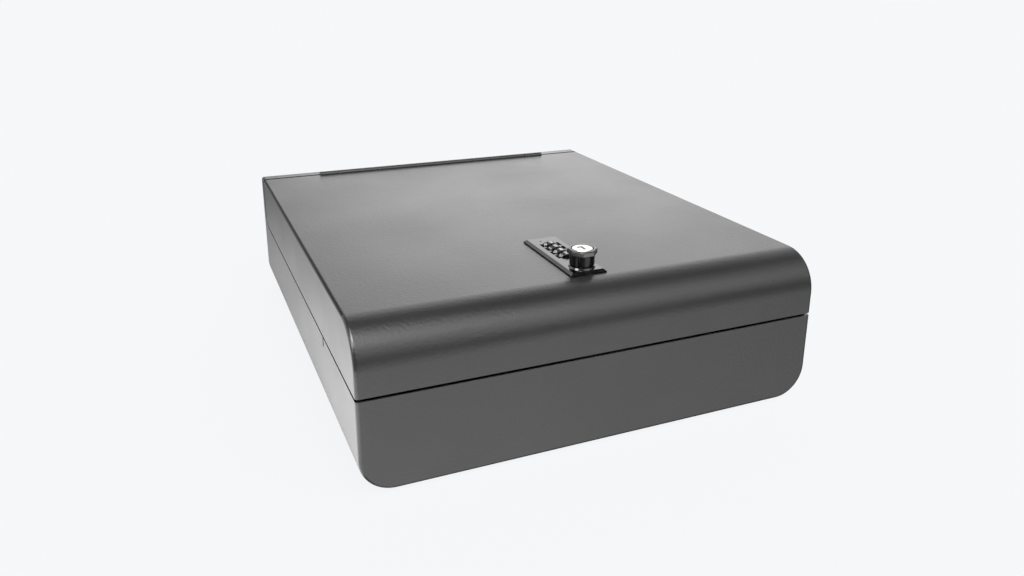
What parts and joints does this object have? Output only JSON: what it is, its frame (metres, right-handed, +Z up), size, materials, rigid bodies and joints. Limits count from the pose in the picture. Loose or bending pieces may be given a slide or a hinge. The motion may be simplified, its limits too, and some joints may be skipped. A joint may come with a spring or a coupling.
{
  "type": "medication lock box",
  "caption": "Sheet-steel lock box with a hinged lid that rolls down at the front and a combination lock with number wheels, a knob and a key override.",
  "frame": {"origin": "centre of the footprint, on the surface that the feet stand on", "axes": "+Z up, +Y to the back where the hinge is, +X to the right as seen from the front, lid closed"},
  "size_m": [0.268, 0.31, 0.1006],
  "materials": {
    "powder_coat": "fine-textured dark grey powder coat",
    "black_enamel": "gloss black over die-cast metal",
    "wheel_black": "satin black with pale digits",
    "die_cast": "bare zinc casting",
    "bright_nickel": "bright nickel plate",
    "zinc_steel": "zinc-plated steel",
    "spring_steel": "bright spring steel",
    "rubber": "matt black rubber"
  },
  "bodies": {
    "base": {"base_shell": "powder_coat", "base_front_panel": "powder_coat", "base_back_panel": "powder_coat", "foot_front_left": "rubber", "foot_front_right": "rubber", "foot_back_left": "rubber", "foot_back_right": "rubber", "strike_bracket": "powder_coat", "hinge_base_leaf": "powder_coat", "hinge_pin": "zinc_steel"},
    "lid": {"lid_shell": "powder_coat", "lid_side_left": "powder_coat", "lid_side_right": "powder_coat", "hinge_lid_leaf": "powder_coat", "lock_plate": "black_enamel", "lock_housing": "die_cast", "wheel_shaft": "zinc_steel", "detent_spring": "spring_steel", "lock_clamp_front": "zinc_steel", "lock_clamp_rear": "zinc_steel", "clamp_screw_front": "zinc_steel", "clamp_screw_rear": "zinc_steel"},
    "knob": {"lock_knob": "black_enamel", "lock_spindle": "zinc_steel", "lock_cam": "zinc_steel", "cam_washer": "zinc_steel", "cam_nut": "zinc_steel"},
    "plug": {"key_plug": "bright_nickel"},
    "wheel_1": {"number_wheel_1": "wheel_black"},
    "wheel_2": {"number_wheel_2": "wheel_black"},
    "wheel_3": {"number_wheel_3": "wheel_black"},
    "wheel_4": {"number_wheel_4": "wheel_black"}
  },
  "joints": [
    {"name": "lid_hinge", "type": "hinge", "parent": "base", "child": "lid", "pos_m": [0, 0.1436, 0.0881], "axis": [-1, 0, 0], "range_deg": [0, 170]},
    {"name": "knob_turn", "type": "hinge", "parent": "lid", "child": "knob", "pos_m": [0, -0.1224, 0.095], "axis": [0, 0, 1], "range_deg": [0, 90]},
    {"name": "key_turn", "type": "hinge", "parent": "knob", "child": "plug", "pos_m": [0, -0.1224, 0.099], "axis": [0, 0, 1], "range_deg": [0, 90]},
    {"name": "wheel_1_turn", "type": "hinge", "parent": "lid", "child": "wheel_1", "pos_m": [0, -0.0832, 0.0857], "axis": [0, 1, 0], "continuous": true},
    {"name": "wheel_2_turn", "type": "hinge", "parent": "lid", "child": "wheel_2", "pos_m": [0, -0.09, 0.0857], "axis": [0, 1, 0], "continuous": true},
    {"name": "wheel_3_turn", "type": "hinge", "parent": "lid", "child": "wheel_3", "pos_m": [0, -0.0968, 0.0857], "axis": [0, 1, 0], "continuous": true},
    {"name": "wheel_4_turn", "type": "hinge", "parent": "lid", "child": "wheel_4", "pos_m": [0, -0.1036, 0.0857], "axis": [0, 1, 0], "continuous": true}
  ]
}
